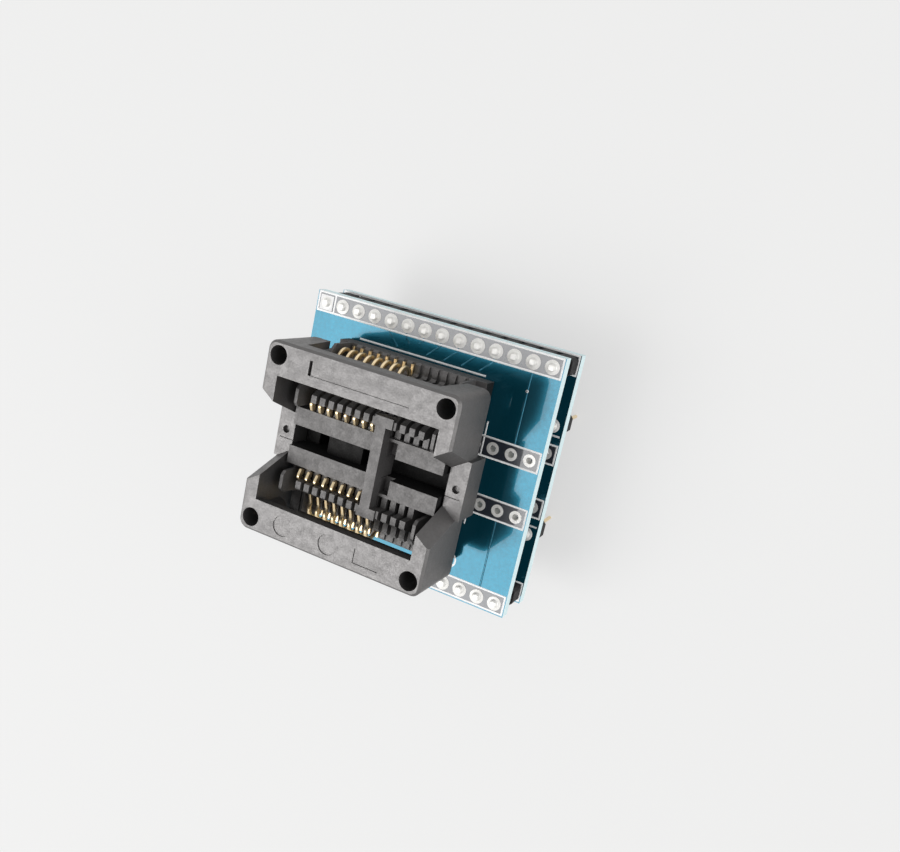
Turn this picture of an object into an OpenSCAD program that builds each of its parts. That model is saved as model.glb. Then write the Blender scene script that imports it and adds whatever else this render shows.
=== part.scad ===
// Programming adapter: an open-top socket for small-outline chips, soldered to the upper of two
// stacked boards. Pin strips link the boards, and round pins below plug into a wide DIP socket.
// Millimetres. X runs along the pin rows, Z is up, and the origin is under the middle of the
// boards, level with the tips of the plug-in pins.

/* [Pin rows] */
// Pins in each row, and contact places on each side of the socket
row_pins = 14; // [12:1:18]
// Distance between neighbouring pins in a row
pin_pitch = 2.54; // [2.2:0.01:3]
// Distance between the two rows that link the boards
link_span = 31.75; // [30.5:0.05:40]
// Distance between the two rows of plug-in pins
plug_span = 15.24; // [12.7:0.01:20.32]
// Distance between the two rows of open plated holes
open_span = 7.62; // [6:0.01:10.16]

/* [Boards] */
// From the last pin of a row to the end of the board
board_end = 1.54; // [1.3:0.01:4]
// From a linking row to the long edge of the board
board_side = 1.475; // [1.3:0.005:4]
// Thickness of each board
board_t = 1.6; // [0.8:0.1:2.4]
// Clear gap between the two boards
board_gap = 4.6; // [4:0.1:10]
// Drilled hole for a soldered pin
drill_d = 1; // [0.95:0.01:1.2]
// Bore of an open plated hole
open_d = 0.85; // [0.6:0.01:1.1]
// Outside of the ring round an open plated hole
open_pad_d = 1.65; // [1.4:0.01:1.9]
// Thickness of the copper plating
plating_t = 0.05; // [0.03:0.01:0.08]
// Drilled hole for the tail of a contact
tail_drill_d = 0.7; // [0.6:0.01:0.9]

/* [Pins and strips] */
// Side of a square linking pin
link_pin_w = 0.64; // [0.5:0.01:0.65]
// How far a linking pin stands out of each board
pin_stub = 0.55; // [0.5:0.05:1.2]
// Width of a moulded pin strip
strip_w = 2.4; // [2:0.05:2.5]
// Height of a moulded pin strip
strip_h = 2.54; // [2:0.01:3.5]
// Break notch between the cells of a strip
strip_notch = 0.4; // [0.2:0.05:0.7]
// Length of a plug-in pin below its strip
plug_free = 6; // [3:0.1:9]
// Diameter of a plug-in pin below its strip
plug_d = 0.5; // [0.4:0.01:0.6]
// Diameter of the shank of a plug-in pin through the board
plug_shank_d = 0.76; // [0.65:0.01:0.85]
// Diameter of the collar of a plug-in pin inside its strip
plug_collar_d = 1.3; // [1:0.05:1.6]
// Chamfer on the tip of a plug-in pin
plug_tip = 0.12; // [0.05:0.01:0.18]
// Radial clearance of a pin in its strip
pin_gap = 0.02; // [0.01:0.01:0.05]
// Width of a soldered pad
solder_d = 2; // [1.6:0.05:2.1]
// Height of a solder joint
solder_h = 0.45; // [0.3:0.05:0.5]
// Thickness of the rim of a solder joint
solder_rim = 0.08; // [0.04:0.01:0.15]
// How far solder spreads round a pin at the top of its joint
solder_wet = 0.1; // [0.05:0.01:0.2]
// Width of a solder joint on a contact tail
tail_solder_d = 1.1; // [0.9:0.05:1.2]

/* [Socket base] */
// Distance between neighbouring contacts
lead_pitch = 1.27; // [1.2:0.01:1.4]
// Contacts fitted on each side, counted from the first pin
contacts_fitted = 8; // [4:1:8]
// Offset of the socket along the board
socket_shift = -1.07; // [-1.5:0.01:1.5]
// From the last contact place to the end of the base
base_end = 1.91; // [1.7:0.01:2.6]
// From the spring loops to the side of the base
base_side = 0.35; // [0.2:0.05:1.2]
// Height of the feet that hold the base off the board
foot_h = 0.3; // [0.15:0.05:0.6]
// Top of the base floor over the board
floor_z = 2.6; // [2:0.05:3]
// Top of the rails that carry the chip body
rail_z = 10.1; // [9.6:0.05:10.6]
// Half the width over the two rails
rail_half_w = 3.75; // [3.5:0.05:3.9]
// Width of the channel between the rails
channel_w = 2.8; // [2:0.1:3.6]
// Depth of the channel below the rails
channel_depth = 3.9; // [2.5:0.1:4]
// Ledge under the chip leads, below the rails
ledge_drop = 0.35; // [0.1:0.05:0.6]
// Inner face of the comb towers from the middle
tower_in = 5.15; // [5:0.05:5.4]
// Width of a comb tower
tower_w = 1.3; // [1:0.05:1.6]
// Height of the comb towers over the rails
tower_rise = 1.4; // [1:0.05:1.8]
// Top of the middle ribs over the board
mid_rib_z = 5.3; // [4.8:0.05:5.4]
// Top of the low outer ribs over the board
low_rib_z = 3; // [2.95:0.05:3.3]
// Thickness of the end ribs
end_rib_t = 0.45; // [0.3:0.05:0.6]
// Height of the end ribs over the comb towers
end_rib_rise = 0.9; // [0.3:0.05:1.2]
// Diameter of the locating pegs under the base
peg_d = 1.5; // [1.2:0.05:1.8]
// From the end of the base and from the comb towers to a peg
peg_inset = 1.2; // [1:0.05:1.3]
// Radial clearance of the pegs in the board
peg_gap = 0.05; // [0.03:0.01:0.1]
// Diameter of the feet under the base
foot_d = 2; // [1.5:0.1:2.5]
// From the ends and sides of the base to the middle of a foot
foot_inset = 1.5; // [1.3:0.05:2]
// Length of the guide posts at the corners of the base
post_l = 1.3; // [1:0.05:1.5]
// Top of the guide posts over the board
post_z = 7.4; // [7.2:0.05:7.6]
// Gap between the guide posts and the cover
post_gap = 0.25; // [0.2:0.05:0.35]
// Depth of the pockets in the rails beside the chip stop
pocket_depth = 1.5; // [1:0.1:2]
// Wall between such a pocket and the side of its rail
pocket_wall = 0.4; // [0.3:0.05:0.6]

/* [Chip stop] */
// Thickness of the stop that shortens the nest
stop_t = 1.4; // [1:0.05:1.6]
// Height of the stop over the rails
stop_rise = 1.6; // [1:0.05:2]
// Gap between the chip body and the stop
chip_gap = 0.2; // [0.1:0.05:0.3]
// Length of the chip body past its last lead
chip_end = 0.705; // [0.6:0.005:0.75]
// Depth of the plug that holds the stop in the channel
stop_plug = 2.4; // [1:0.1:2.4]
// Contact places that the bars of the stop take up
stop_places = 2; // [1:1:3]
// Clearance of the stop in its seats
stop_gap = 0.03; // [0.02:0.01:0.06]

/* [Contacts] */
// Thickness of the stamped contacts
contact_t = 0.38; // [0.3:0.01:0.42]
// Clearance of a contact on each side of its slot
slot_gap = 0.06; // [0.04:0.01:0.08]
// Height of the gap between a contact tip and the ledge
tip_gap = 0.1; // [0.05:0.01:0.3]
// Height of a contact head
head_h = 1.1; // [1:0.05:1.3]
// Length of a contact head across the row
head_l = 1.4; // [1.3:0.05:1.5]
// How much lower the nose of a contact head is than its top
nose_drop = 0.35; // [0.25:0.05:0.5]
// Rounding of the nose of a contact head
nose_r = 0.25; // [0.15:0.01:0.25]
// Rounding of the top of a contact head
dome_r = 0.45; // [0.35:0.01:0.45]
// Width of the tip that presses on a chip lead
tip_w = 0.7; // [0.5:0.05:0.8]
// Gap between a contact head and the rail
head_gap = 0.1; // [0.06:0.01:0.2]
// Width of the contact arm
arm_w = 0.75; // [0.6:0.05:0.9]
// Distance of the spring loop's middle from the middle of the socket
loop_y = 10; // [9.9:0.05:10.2]
// Outer radius of the spring loop
loop_r = 1.8; // [1.7:0.05:1.85]
// Width of the metal in the spring loop
loop_w = 0.5; // [0.4:0.02:0.6]
// Height of the bar that a contact stands on in its slot
foot_bar_h = 0.55; // [0.45:0.05:0.6]
// Gap where the moving arm parts from its spring
spring_cut = 0.05; // [0.03:0.01:0.08]
// Width of a contact tail
tail_w = 0.4; // [0.3:0.02:0.45]
// Stagger between neighbouring tails
tail_stagger = 1.8; // [1.4:0.1:2]
// How far a tail stands out under the board
tail_stub = 0.8; // [0.5:0.05:1]
// Distance of the tilt axis from the middle of the socket
tilt_y = 7.4; // [7.2:0.05:7.6]
// Height of the tilt axis over the board
tilt_z = 4.4; // [4.2:0.05:4.6]
// Angle that the arms open by
open_angle = 15; // [10:1:16]

/* [Cover] */
// Top of the released cover over the board
cover_z = 14.95; // [14.6:0.05:15.6]
// Height of the cover walls
cover_h = 8.5; // [7.5:0.05:8.8]
// Travel of the cover
cover_travel = 2; // [1.2:0.1:2.2]
// Gap between the cover and the ends of the base
cover_gap = 0.35; // [0.2:0.05:0.5]
// Thickness of the end walls
end_wall = 2; // [1.6:0.05:2.4]
// Overhang of the cover past the sides of the base
side_over = 0.1; // [0.05:0.05:0.4]
// Thickness of the side walls
side_wall = 1; // [0.8:0.05:1.1]
// Width of the long bars
bar_w = 4.25; // [3.9:0.05:4.4]
// Thickness of the long bars
bar_t = 1.2; // [1:0.05:1.6]
// Height of the lip over the side arches
lip_h = 2.3; // [2.2:0.05:2.8]
// Rounding of the corners of the cover
cover_r = 1.2; // [0.8:0.05:1.4]
// Chamfer along the top edge
cover_chamfer = 0.3; // [0.1:0.05:0.35]
// Diameter of the corner holes
corner_hole_d = 2.4; // [2:0.05:2.6]
// From the outer end of the cover to a corner hole
corner_hole_x = 1.7; // [1.6:0.05:2]
// From the outer side of the cover to a corner hole
corner_hole_y = 1.75; // [1.6:0.05:2]
// Wall round the corner holes
corner_boss = 0.55; // [0.4:0.05:0.7]
// Width of a leg at the top of the side arch
leg_top = 4; // [3.6:0.05:4.2]
// Width of a leg at its foot
leg_foot = 3.3; // [3:0.05:3.5]
// Half width of the end notch at its top, outside
notch_out = 6.05; // [5.6:0.05:6.4]
// Half width of the end notch at its top, inside
notch_in = 4.75; // [4.5:0.05:5.2]
// Half width of the tongue in the end notch
tongue_half_w = 3.75; // [3.4:0.05:3.9]
// How far the tongue stands proud of the end wall
tongue_proud = 0.5; // [0.3:0.05:0.9]
// Depth of the end notch from the top
notch_depth = 5.95; // [5.4:0.05:6.4]
// Length of the tongue below the notch
tongue_h = 4.2; // [3.9:0.05:4.6]
// Reach of the hook and of its catch
hook_reach = 0.25; // [0.15:0.01:0.28]
// Height of the hook and of its catch
hook_h = 0.6; // [0.4:0.05:0.7]
// Gap between the hook and its catch
hook_gap = 0.1; // [0.05:0.01:0.15]
// Half width of the hook and of its catch
hook_half_w = 2.4; // [1.8:0.05:2.8]
// From the top of a spring loop out to the pressing ridge
ridge_in = 0.15; // [0:0.05:0.3]
// Thickness of the pressing ridge
ridge_t = 0.75; // [0.5:0.05:0.8]
// Gap between the ridge and the arms at full travel
ridge_gap = 0.16; // [0.1:0.01:0.3]
// Depth of the shallow marks in the top
mark_depth = 0.12; // [0.06:0.02:0.2]
// Length of the bare recess in the rear bar
plate_l = 13.9; // [10:0.1:15]
// Width of the bare recess in the rear bar
plate_w = 1.8; // [1.2:0.1:2.2]
// Width of the deep slot at the end of the bare recess
plate_slot = 0.32; // [0.2:0.02:0.5]
// Diameter of the round moulding marks in the front bar
round_mark_d = 2.6; // [1.6:0.1:3]
// Length of the bare box in the front bar
box_l = 3.5; // [2:0.1:4]
// Width of the bare box in the front bar
box_w = 1.9; // [1.2:0.1:2.2]
// Distance from the end of the comb to the bare box
box_end = 1.6; // [1.2:0.1:2.4]
// Distance between the round moulding marks
round_mark_step = 6.7; // [5:0.1:7.5]
// Diameter of the pin mark in the tongue
pin_mark_d = 1; // [0.6:0.05:1.3]
// Depth of the pin mark in the tongue
pin_mark_depth = 0.6; // [0.3:0.05:0.9]
// Distance of the parting line in the tongue from its middle
seam_y = 1.14; // [0.8:0.02:1.6]
// Width of the parting line in the tongue
seam_w = 0.12; // [0.08:0.01:0.2]

/* [Hidden] */
$fn = 40;

board_color = [0.1, 0.35, 0.55];
copper_color = [0.85, 0.85, 0.82];
solder_color = [0.8, 0.8, 0.8];
strip_color = [0.07, 0.07, 0.07];
socket_color = [0.2, 0.2, 0.2];
gold_color = [0.8, 0.6, 0.3];

// Small overlap that makes cuts run clean through a face
cut = 0.5;

// Breaks and margins of the comb, from small to large
edge_break = 0.3;
rib_break = 0.5;
comb_margin = 0.2;
rib_margin = 0.3;
slot_floor = 0.1;

// Heights from the pin tips up
strip_z = plug_free;
low_z = strip_z + strip_h;
low_top = low_z + board_t;
up_z = low_top + board_gap;
up_top = up_z + board_t;

// Rows and boards
row_half = (row_pins - 1) / 2;
board_l = 2 * (row_half * pin_pitch + board_end);
board_w = link_span + 2 * board_side;

// Socket base, measured from the socket's middle and from the top of the upper board
comb_half = row_pins * lead_pitch / 2;
comb_end = comb_half + comb_margin;
base_half_l = comb_half + base_end;
base_half_w = loop_y + loop_r + base_side;
slot_w = contact_t + 2 * slot_gap;
slot_z = floor_z + slot_floor;
ledge_z = rail_z - ledge_drop;
tower_z = rail_z + tower_rise;
tower_out = tower_in + tower_w;
end_rib_x = comb_end + rib_margin + end_rib_t / 2;
channel_z = rail_z - channel_depth;

// Contacts
foot_bar_z = slot_z + spring_cut;
loop_z = foot_bar_z + foot_bar_h + loop_r;
loop_cut_angle = 55;
loop_neck_angle = 20;
loop_start_angle = 10;
arm_meets_angle = 115;
knee_angle = 54;
loop_steps = 12;
arm_steps = 6;
head_steps = 5;
dome_end_angle = 45;
tip_break = 0.2;
head_in = rail_half_w + head_gap;
head_z = ledge_z + tip_gap;
tail_outer_y = loop_y;
tail_inner_y = loop_y - tail_stagger;
foot_bar_in = tail_inner_y - tail_w;
foot_bar_out = loop_y + loop_r + slot_gap;

// Chip stop
chip_end_x = slot_offset(contacts_fitted - 1) + chip_end;
stop_x = chip_end_x + chip_gap;
stop_bar_x0 = slot_offset(contacts_fitted) - lead_pitch / 2;
stop_bar_x1 = stop_bar_x0 + stop_places * lead_pitch;
pocket_x1 = stop_x + stop_t + lead_pitch;

// Cover
cover_half_in = base_half_l + cover_gap;
cover_half_l = cover_half_in + end_wall;
cover_half_w = base_half_w + side_over;
cover_foot = cover_z - cover_h;
bar_in = cover_half_w - bar_w;
bar_z = cover_z - bar_t;
boss_r = corner_hole_d / 2 + corner_boss;
boss_x = cover_half_l - corner_hole_x;
boss_y = cover_half_w - corner_hole_y;
boss_foot = post_z + cover_travel + post_gap;
notch_z = cover_z - notch_depth;
tongue_z = notch_z - tongue_h;
tongue_out = cover_half_l + tongue_proud;
catch_z = tongue_z + hook_h + hook_gap;
pressed_z = tilt_point([loop_y, loop_z + loop_r], open_angle)[1];
ridge_y = loop_y + ridge_in;
ridge_z = pressed_z + cover_travel + ridge_gap;

function pin_x(i) = (i - row_half) * pin_pitch;
function slot_offset(i) = (i - row_half) * lead_pitch;
function tail_y(i) = i % 2 == 0 ? tail_outer_y : tail_inner_y;
function arc(middle, r, a0, a1, n) = [
  for (k = [0:n]) let (a = a0 + (a1 - a0) * k / n) [middle[0] + r * cos(a), middle[1] + r * sin(a)]
];
// Inner edge of a leg of the pressed cover, at a height over the board
function leg_edge(z) = let (foot = cover_half_l - leg_foot, top = cover_half_l - leg_top)
  foot - (foot - top) * (z + cover_travel - cover_foot) / (cover_h - lip_h);
function tilt_point(p, angle) = let (d = [p[0] - tilt_y, p[1] - tilt_z])
  [tilt_y + d[0] * cos(angle) + d[1] * sin(angle), tilt_z - d[0] * sin(angle) + d[1] * cos(angle)];

// Placing helpers
module along_row(y) {
  for (i = [0:row_pins - 1]) {
    translate([pin_x(i), y, 0]) children();
  }
}

module both_ends() {
  for (side = [0, 1]) {
    mirror([side, 0, 0]) children();
  }
}

module both_sides() {
  for (side = [0, 1]) {
    mirror([0, side, 0]) children();
  }
}

module on_board() {
  translate([socket_shift, 0, up_top]) children();
}

// A flat outline in Y and Z, given thickness along X
module in_yz(t) {
  rotate([90, 0, 90]) translate([0, 0, -t / 2]) linear_extrude(t) children();
}

// A flat outline in X and Z, given thickness along Y
module in_xz(t) {
  rotate([90, 0, 0]) translate([0, 0, -t / 2]) linear_extrude(t) children();
}

module box_between(low, high) {
  translate(low) cube(high - low);
}

// Boards
module board_plate(z) {
  translate([-board_l / 2, -board_w / 2, z]) cube([board_l, board_w, board_t]);
}

module drilled_row(y, d, z) {
  along_row(y) translate([0, 0, z - cut]) cylinder(d = d, h = board_t + 2 * cut);
}

module open_holes_cut(z) {
  for (side = [-1, 1]) {
    drilled_row(side * open_span / 2, open_d + 2 * plating_t + 2 * pin_gap, z);
  }
}

module link_holes_cut(z) {
  for (side = [-1, 1]) {
    drilled_row(side * link_span / 2, drill_d, z);
  }
}

module upper_board() {
  color(board_color) difference() {
    board_plate(up_z);
    link_holes_cut(up_z);
    open_holes_cut(up_z);
    both_sides() for (i = [0:row_pins - 1]) {
      translate([socket_shift + slot_offset(i), tail_y(i), up_z - cut])
        cylinder(d = tail_drill_d, h = board_t + 2 * cut);
    }
    on_board() peg_places() translate([0, 0, -board_t - cut])
      cylinder(d = peg_d + 2 * peg_gap, h = board_t + 2 * cut);
  }
}

module lower_board() {
  color(board_color) difference() {
    board_plate(low_z);
    link_holes_cut(low_z);
    open_holes_cut(low_z);
    for (side = [-1, 1]) {
      drilled_row(side * plug_span / 2, drill_d, low_z);
    }
  }
}

// One plated hole: a barrel with a ring on each face of the board
module plated_hole() {
  difference() {
    union() {
      cylinder(d = open_d + 2 * plating_t, h = board_t);
      for (z = [-plating_t, board_t]) {
        translate([0, 0, z]) cylinder(d = open_pad_d, h = plating_t);
      }
    }
    translate([0, 0, -cut]) cylinder(d = open_d, h = board_t + 2 * cut);
  }
}

module open_pads(z) {
  color(copper_color) for (side = [-1, 1]) {
    along_row(side * open_span / 2) translate([0, 0, z]) plated_hole();
  }
}

module upper_open_pads() { open_pads(up_z); }
module lower_open_pads() { open_pads(low_z); }

// A moulded strip of cells with break notches between them, with one hole shape for each pin
function strip_side(y, n) = [
  for (i = [0:row_pins - 1]) each [
    [pin_x(i) - pin_pitch / 2, y - sign(y) * n], [pin_x(i) - pin_pitch / 2 + n, y],
    [pin_x(i) + pin_pitch / 2 - n, y], [pin_x(i) + pin_pitch / 2, y - sign(y) * n]
  ]
];

function reversed(list) = [for (k = [len(list) - 1:-1:0]) list[k]];

module strip_body(y, z) {
  translate([0, y, z]) linear_extrude(strip_h)
    polygon(concat(strip_side(-strip_w / 2, strip_notch), reversed(strip_side(strip_w / 2, strip_notch))));
}

module link_strip(y) {
  color(strip_color) difference() {
    strip_body(y, low_top);
    along_row(y) translate([0, 0, low_top + strip_h / 2])
      cube([link_pin_w + 2 * pin_gap, link_pin_w + 2 * pin_gap, strip_h + 2 * cut], center = true);
  }
}

module link_pins(y) {
  pin_low = low_z - pin_stub;
  color(solder_color) along_row(y)
    translate([-link_pin_w / 2, -link_pin_w / 2, pin_low])
      cube([link_pin_w, link_pin_w, up_top + pin_stub - pin_low]);
}

// A hollow-sided cone of solder that rises from a pad to the pin it wets
module solder_cone(pad_d, top_d, h) {
  steps = 5;
  rotate_extrude() polygon(concat([[0, 0], [pad_d / 2, 0]], [
    for (k = [0:steps]) let (a = 90 * k / steps)
      [top_d / 2 + (pad_d - top_d) / 2 * (1 - sin(a)), solder_rim + (h - solder_rim) * (1 - cos(a))]
  ], [[0, h]]));
}

module link_joint(square) {
  wet_d = link_pin_w * sqrt(2) + solder_wet;
  difference() {
    union() {
      solder_cone(solder_d, wet_d, solder_h);
      if (square) {
        translate([-solder_d / 2, -solder_d / 2, 0]) cube([solder_d, solder_d, solder_rim]);
      }
    }
    cube([link_pin_w, link_pin_w, 4 * solder_h], center = true);
  }
}

module upper_solder(y, first_square) {
  color(solder_color) for (i = [0:row_pins - 1]) {
    translate([pin_x(i), y, up_top]) link_joint(first_square && i == 0);
  }
}

module lower_solder(y) {
  color(solder_color) along_row(y) translate([0, 0, low_z]) mirror([0, 0, 1]) link_joint(false);
}

module link_strip_rear() { link_strip(link_span / 2); }
module link_strip_front() { link_strip(-link_span / 2); }
module link_pins_rear() { link_pins(link_span / 2); }
module link_pins_front() { link_pins(-link_span / 2); }
module upper_solder_rear() { upper_solder(link_span / 2, true); }
module upper_solder_front() { upper_solder(-link_span / 2, false); }
module lower_solder_rear() { lower_solder(link_span / 2); }
module lower_solder_front() { lower_solder(-link_span / 2); }

// Turned plug-in pins with a collar set flush in a strip under the lower board
collar_h = strip_h / 2;

module plug_strip(y) {
  color(strip_color) difference() {
    strip_body(y, strip_z);
    along_row(y) translate([0, 0, strip_z]) {
      translate([0, 0, -cut])
        cylinder(d = plug_collar_d + 2 * pin_gap, h = collar_h + cut + pin_gap);
      cylinder(d = plug_shank_d + 2 * pin_gap, h = strip_h + cut);
    }
  }
}

module plug_pins(y) {
  top = low_top + pin_stub;
  color(gold_color) along_row(y) rotate_extrude() polygon([
    [0, 0], [plug_d / 2 - plug_tip, 0], [plug_d / 2, 2 * plug_tip], [plug_d / 2, strip_z],
    [plug_collar_d / 2, strip_z], [plug_collar_d / 2, strip_z + collar_h],
    [plug_shank_d / 2, strip_z + collar_h], [plug_shank_d / 2, top], [0, top]
  ]);
}

module plug_solder(y) {
  color(solder_color) along_row(y) translate([0, 0, low_top]) difference() {
    solder_cone(solder_d, plug_shank_d + 2 * pin_gap + 2 * solder_wet, solder_h);
    translate([0, 0, -cut]) cylinder(d = plug_shank_d + 2 * pin_gap, h = solder_h + 2 * cut);
  }
}

module plug_strip_rear() { plug_strip(plug_span / 2); }
module plug_strip_front() { plug_strip(-plug_span / 2); }
module plug_pins_rear() { plug_pins(plug_span / 2); }
module plug_pins_front() { plug_pins(-plug_span / 2); }
module plug_solder_rear() { plug_solder(plug_span / 2); }
module plug_solder_front() { plug_solder(-plug_span / 2); }

// Socket base
module peg_places() {
  for (turn = [0, 180]) {
    rotate([0, 0, turn]) translate([base_half_l - peg_inset, tower_out + peg_inset, 0]) children();
  }
}

// Outline of one rib of the comb, from the middle of the socket outwards. The ribs stand between the slots
module comb_outline() {
  mid_out = loop_y + loop_r / 4;
  tower_foot = loop_y - loop_r;
  polygon([
    [0, foot_h], [base_half_w, foot_h],
    [base_half_w, low_rib_z - edge_break], [base_half_w - edge_break, low_rib_z],
    [mid_out + edge_break, low_rib_z], [mid_out, low_rib_z + edge_break],
    [mid_out, mid_rib_z - rib_break], [mid_out - rib_break, mid_rib_z],
    [tower_foot + edge_break, mid_rib_z], [tower_foot, mid_rib_z + edge_break],
    [tower_out, tower_z - rib_break], [tower_out - edge_break, tower_z],
    [tower_in, tower_z], [tower_in, ledge_z],
    [rail_half_w, ledge_z], [rail_half_w, rail_z], [0, rail_z]
  ]);
}

// Side view of the room that a contact needs in its slot
module slot_outline() {
  slot_in = rail_half_w + head_gap / 2;
  under_head = ledge_z - 2 * head_h;
  under_arm = slot_z + loop_r + loop_w;
  top = tower_z + cut;
  polygon([
    [slot_in, under_head], [tower_out - comb_margin, under_arm],
    [loop_y - loop_r - 2 * loop_w, slot_z],
    [base_half_w + cut, slot_z], [base_half_w + cut, top], [slot_in, top]
  ]);
}

// Upright rib past each end of a comb, spread at its foot
module end_rib() {
  inner = rail_half_w + rib_break;
  outer = tower_out + 2 * rib_margin;
  spread = tower_w;
  top = tower_z + end_rib_rise;
  translate([end_rib_x, 0, 0]) in_yz(end_rib_t) polygon([
    [inner, floor_z - cut], [outer + spread, floor_z - cut],
    [outer, top - rib_break], [outer - rib_break, top],
    [inner + rib_break, top], [inner, top - rib_break]
  ]);
}

// Guide post at a corner of the base, with a bank that rises from it to the rail
module guide_post() {
  outer = cover_half_w - side_wall - post_gap;
  shoulder = tower_out + tower_w;
  bank_z = (post_z + rail_z) / 2;
  translate([base_half_l - post_l / 2, 0, 0]) in_yz(post_l) polygon([
    [rail_half_w - cut, foot_h], [outer, foot_h], [outer, post_z - edge_break],
    [outer - edge_break, post_z], [shoulder, post_z], [rail_half_w - cut, bank_z]
  ]);
}

// Cheek that closes the end of a comb beside a leg of the cover
module end_cheek() {
  outer = max(comb_end, leg_edge(post_z) - post_gap);
  slope = 2 * rib_break;
  translate([(comb_half + outer) / 2, 0, 0]) in_yz(outer - comb_half) polygon([
    [tower_in, foot_h], [base_half_w, foot_h], [base_half_w, post_z - slope],
    [base_half_w - slope, post_z], [tower_in, post_z]
  ]);
}

module base_catch() {
  in_xz(2 * hook_half_w) polygon([
    [base_half_l - cut, catch_z], [base_half_l + hook_reach, catch_z],
    [base_half_l + hook_reach, catch_z + hook_h / 2], [base_half_l, catch_z + hook_h],
    [base_half_l - cut, catch_z + hook_h]
  ]);
}

module base_solid() {
  both_sides() in_yz(2 * slot_offset(row_pins - 1)) comb_outline();
  box_between([-base_half_l, -rail_half_w, foot_h], [base_half_l, rail_half_w, rail_z]);
  box_between([-base_half_l, -base_half_w, foot_h], [base_half_l, base_half_w, floor_z]);
  both_ends() {
    both_sides() end_rib();
    both_sides() guide_post();
    both_sides() end_cheek();
    base_catch();
    both_sides() translate([base_half_l - foot_inset, base_half_w - foot_inset, 0])
      cylinder(d = foot_d, h = floor_z);
  }
  peg_places() translate([0, 0, -board_t]) cylinder(d = peg_d, h = board_t + floor_z);
}

// Channel between the rails, with a raised pad and a deep pocket on each side of it
module channel_cuts() {
  half = channel_w / 2;
  places_before_pad = 2;
  places_on_pad = 4;
  nest_x0 = slot_offset(0) - lead_pitch / 2;
  pad_x0 = nest_x0 + places_before_pad * lead_pitch;
  pad_x1 = pad_x0 + places_on_pad * lead_pitch;
  deep_x1 = stop_x - lead_pitch / 4;
  box_between([-base_half_l - cut, -half, channel_z], [pad_x0, half, rail_z + cut]);
  box_between([pad_x1, -half, channel_z], [base_half_l + cut, half, rail_z + cut]);
  box_between([pad_x0 - cut, -half, rail_z - channel_depth / 2], [pad_x1 + cut, half, rail_z + cut]);
  box_between([nest_x0, -half, floor_z], [pad_x0, half, channel_z + cut]);
  box_between([pad_x1, -half, floor_z], [deep_x1, half, channel_z + cut]);
}

// Seats for the chip stop: a notch in each comb and a pocket in the rails beside it
module stop_cuts() {
  both_sides() box_between([stop_bar_x0 - stop_gap, tower_in - cut, rail_z],
    [stop_bar_x1 + stop_gap, tower_out + cut, tower_z + cut]);
  both_sides() box_between([stop_x + stop_t, channel_w / 2 - cut, rail_z - pocket_depth],
    [pocket_x1, rail_half_w - pocket_wall, rail_z + cut]);
}

module socket_base() {
  color(socket_color) on_board() difference() {
    base_solid();
    both_sides() for (i = [0:row_pins - 1]) {
      translate([slot_offset(i), 0, 0]) in_yz(slot_w) slot_outline();
      translate([slot_offset(i), tail_y(i), 0])
        cube([slot_w, tail_w + 2 * slot_gap, 4 * floor_z], center = true);
    }
    channel_cuts();
    stop_cuts();
  }
}

// Stop that closes the nest behind the chip: a wall with a bar on each comb and a plug in the channel
module chip_stop() {
  color(socket_color) on_board() {
    box_between([stop_x, -tower_in, rail_z], [stop_x + stop_t, tower_in, rail_z + stop_rise]);
    both_sides() box_between([stop_bar_x0, tower_in, rail_z + stop_gap],
      [stop_bar_x1, tower_out, rail_z + stop_rise]);
    box_between([stop_x, -channel_w / 2 + stop_gap, rail_z - stop_plug],
      [stop_x + stop_t, channel_w / 2 - stop_gap, rail_z + cut]);
  }
}

// Contacts: one stamped outline, parted where the spring loop turns into the moving arm. A bar in the
// bottom of the slot carries the loop and the tail
module spring_outline(tail_at) {
  middle = [loop_y, loop_z];
  gap_angle = spring_cut / loop_r * 180 / PI;
  inner = loop_r - loop_w;
  tail_low = -board_t - tail_stub;
  bar_top = foot_bar_z + foot_bar_h;
  polygon(concat(
    arc(middle, loop_r, loop_cut_angle - gap_angle, loop_neck_angle - 90, loop_steps),
    [
      [loop_y + loop_w, bar_top], [foot_bar_out, bar_top], [foot_bar_out, foot_bar_z],
      [tail_at + tail_w / 2, foot_bar_z], [tail_at + tail_w / 2, tail_low],
      [tail_at - tail_w / 2, tail_low], [tail_at - tail_w / 2, foot_bar_z],
      [foot_bar_in, foot_bar_z], [foot_bar_in, bar_top], [loop_y - loop_w, bar_top]
    ],
    arc(middle, inner, -90 - loop_start_angle, loop_cut_angle - gap_angle, loop_steps)
  ));
}

// The arm runs in from the loop, rises behind the comb and ends in a domed head with a lower nose
module arm_outline() {
  middle = [loop_y, loop_z];
  top = head_z + head_h;
  nose = [head_in + nose_r, top - nose_drop - nose_r];
  dome = [head_in + head_l - dome_r, top - dome_r];
  rise = dome - nose;
  crest_angle = 90 + atan2(rise[1], rise[0]) + asin((dome_r - nose_r) / norm(rise));
  knee = [tower_out + arm_w, loop_z + loop_r + arm_w / 2];
  across = [cos(knee_angle), sin(knee_angle)] * arm_w / 2;
  polygon(concat(
    [[head_in, head_z + tip_break]],
    arc(nose, nose_r, 180, crest_angle, head_steps),
    arc(dome, dome_r, crest_angle, dome_end_angle, head_steps),
    [knee + across],
    arc(middle, loop_r, arm_meets_angle, loop_cut_angle, arm_steps),
    arc(middle, loop_r - loop_w, loop_cut_angle, arm_meets_angle, arm_steps),
    [
      knee - across, [head_in + tip_w + tip_break, head_z + edge_break],
      [head_in + tip_w, head_z], [head_in + tip_break, head_z]
    ]
  ));
}

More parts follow.
